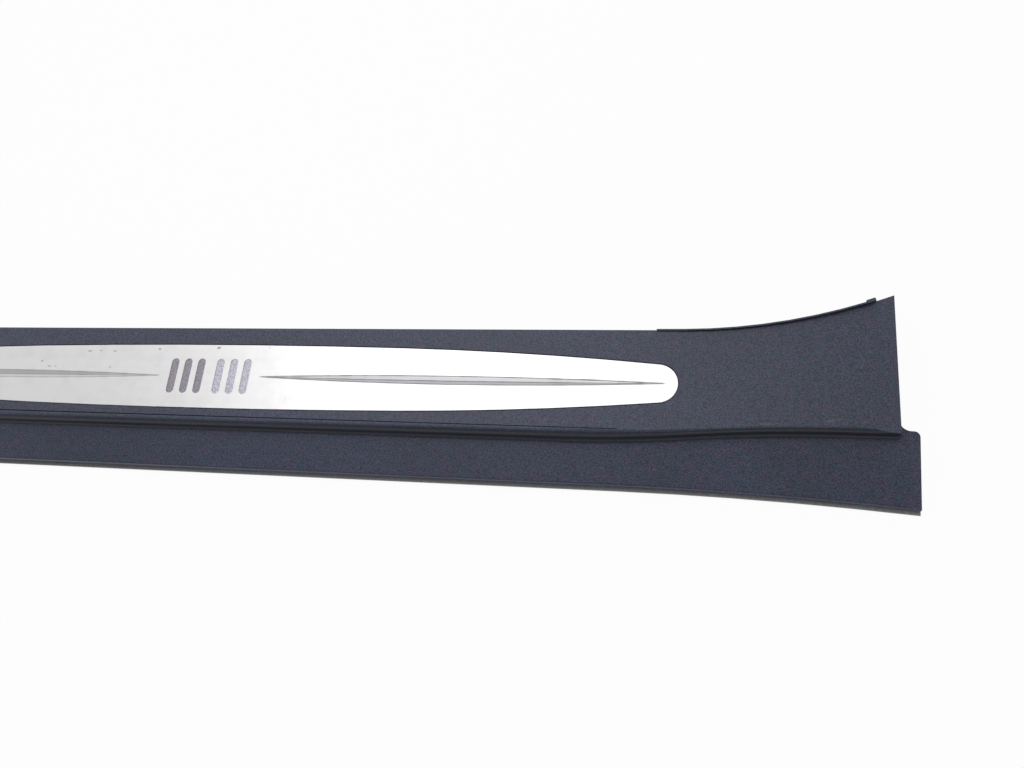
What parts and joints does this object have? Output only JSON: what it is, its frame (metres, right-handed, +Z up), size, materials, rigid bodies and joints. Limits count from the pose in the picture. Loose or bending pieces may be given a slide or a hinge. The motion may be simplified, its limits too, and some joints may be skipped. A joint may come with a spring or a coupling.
{
  "type": "car door sill trim",
  "caption": "Long moulded door sill trim with an inlaid bright metal step plate, a stepped outer band and a flared end with a raised lip.",
  "frame": {"origin": "under the centre of the bright plate, on the plane of the moulding's lower rims", "axes": "+X along the sill towards the flared end, +Y into the car, +Z up through the step face"},
  "size_m": [1.0735, 0.1558, 0.0292],
  "materials": {
    "moulding": "fine grained, slightly satin",
    "bright_plate": "brushed and clear anodised",
    "adhesive_tape": "foam tape",
    "clip_nylon": "natural nylon",
    "seal_foam": "closed-cell foam",
    "pad_foam": "open-cell foam"
  },
  "bodies": {
    "root": {"sill_carrier": "moulding", "trim_plate": "bright_plate", "plate_tape_left": "adhesive_tape", "plate_tape_middle": "adhesive_tape", "plate_tape_right": "adhesive_tape", "clip_1": "clip_nylon", "clip_2": "clip_nylon", "clip_3": "clip_nylon", "clip_4": "clip_nylon", "clip_5": "clip_nylon", "clip_6": "clip_nylon", "clip_7": "clip_nylon", "clip_8": "clip_nylon", "clip_seal_1": "seal_foam", "clip_seal_2": "seal_foam", "clip_seal_3": "seal_foam", "clip_seal_4": "seal_foam", "clip_seal_5": "seal_foam", "clip_seal_6": "seal_foam", "clip_seal_7": "seal_foam", "clip_seal_8": "seal_foam", "foam_pad_1": "pad_foam", "foam_pad_2": "pad_foam", "foam_pad_3": "pad_foam", "foam_pad_4": "pad_foam"}
  },
  "joints": []
}
